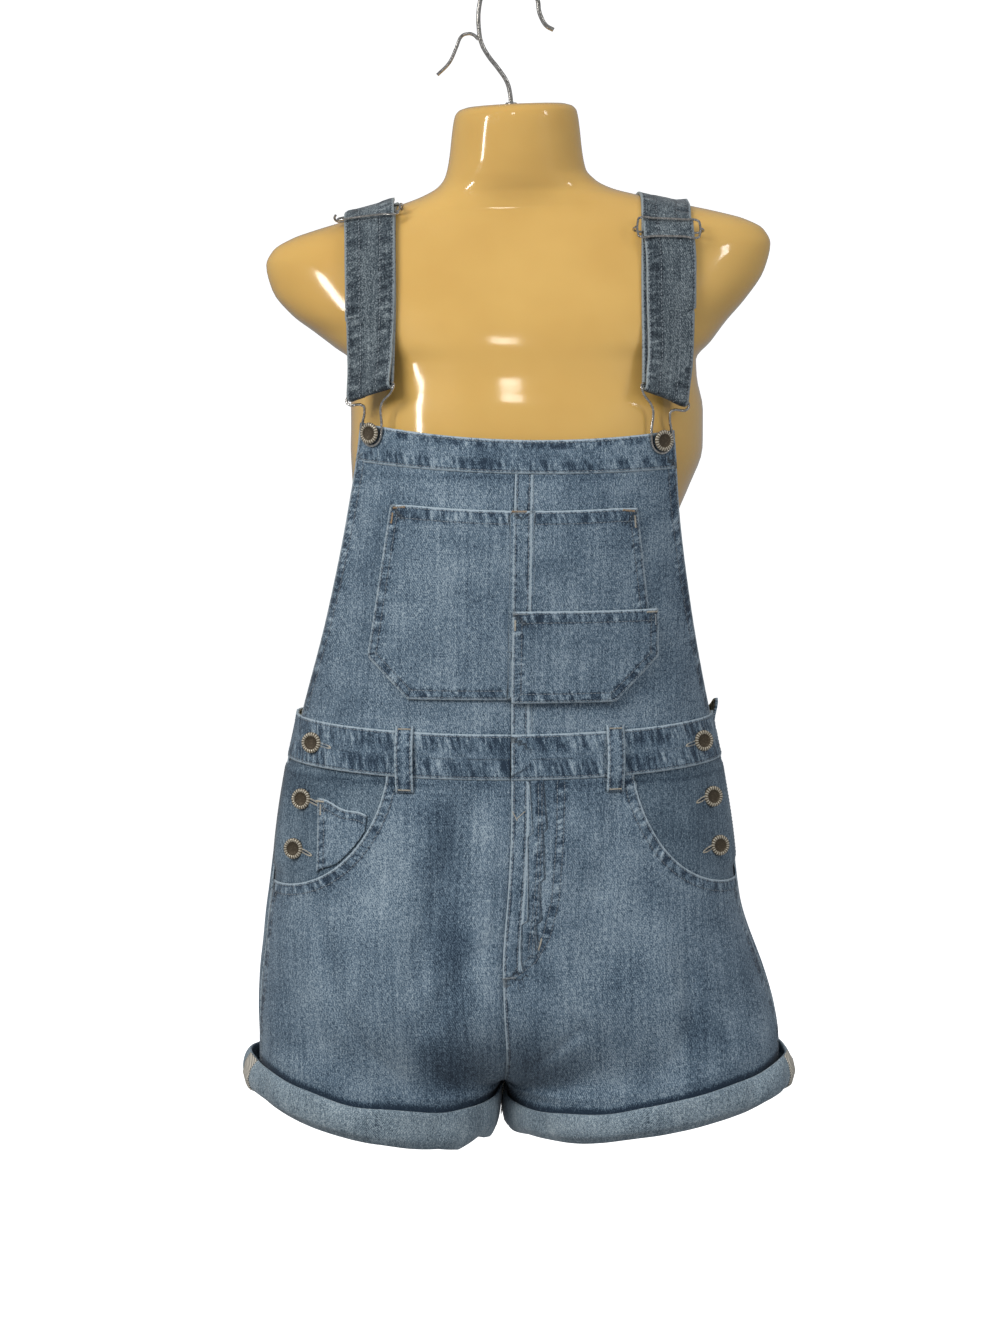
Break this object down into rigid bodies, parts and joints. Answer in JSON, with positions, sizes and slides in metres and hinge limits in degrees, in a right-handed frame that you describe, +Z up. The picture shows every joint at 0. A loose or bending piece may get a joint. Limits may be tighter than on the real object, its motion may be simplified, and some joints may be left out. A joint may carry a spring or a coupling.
{
  "type": "denim overall shorts on a hanging torso form",
  "caption": "Bib overall shorts in denim with buckled straps, side buttons and turned-up cuffs, filled out by a limbless torso form on a wire hook.",
  "frame": {"origin": "inside top of the hook's bow, where the form hangs on a rail", "axes": "+Z up, the front of the garment faces -Y, +X is the wearer's left side and the right of the picture"},
  "size_m": [0.4573, 0.2623, 0.9423],
  "materials": {
    "denim": "mid-blue washed twill denim, tone-on-tone stitching",
    "denim_dark": "darker, less worn denim inside the pocket mouths",
    "denim_pale": "paler reverse side of the denim on the turned-up cuffs",
    "button_metal": "antiqued metal with a pale worn rim",
    "wire": "bright plated wire",
    "form_plastic": "glossy warm cream plastic"
  },
  "bodies": {
    "root": {"back_left": "denim", "back_right": "denim", "belt_loop_1": "denim", "belt_loop_2": "denim", "belt_loop_3": "denim", "belt_loop_4": "denim", "belt_loop_5": "denim", "bib_back": "denim", "bib_band": "denim", "bib_left": "denim", "bib_pocket": "denim", "bib_right": "denim", "buckle_left": "wire", "buckle_right": "wire", "button_bib_left": "button_metal", "button_bib_right": "button_metal", "button_side_left_1": "button_metal", "button_side_left_2": "button_metal", "button_side_left_3": "button_metal", "button_side_right_1": "button_metal", "button_side_right_2": "button_metal", "button_side_right_3": "button_metal", "coin_pocket": "denim", "cuff_left": "denim_pale", "cuff_right": "denim_pale", "front_left": "denim", "front_right": "denim", "hanging_hook": "wire", "hook_collar": "wire", "hook_prong": "wire", "pen_pocket": "denim", "pocket_facing_left": "denim_dark", "pocket_facing_right": "denim_dark", "slider_bar_left": "wire", "slider_bar_right": "wire", "slider_frame_left": "wire", "slider_frame_right": "wire", "strap_left": "denim", "strap_right": "denim", "torso_form": "form_plastic", "waistband_back": "denim", "waistband_front_left": "denim", "waistband_front_right": "denim"}
  },
  "joints": []
}
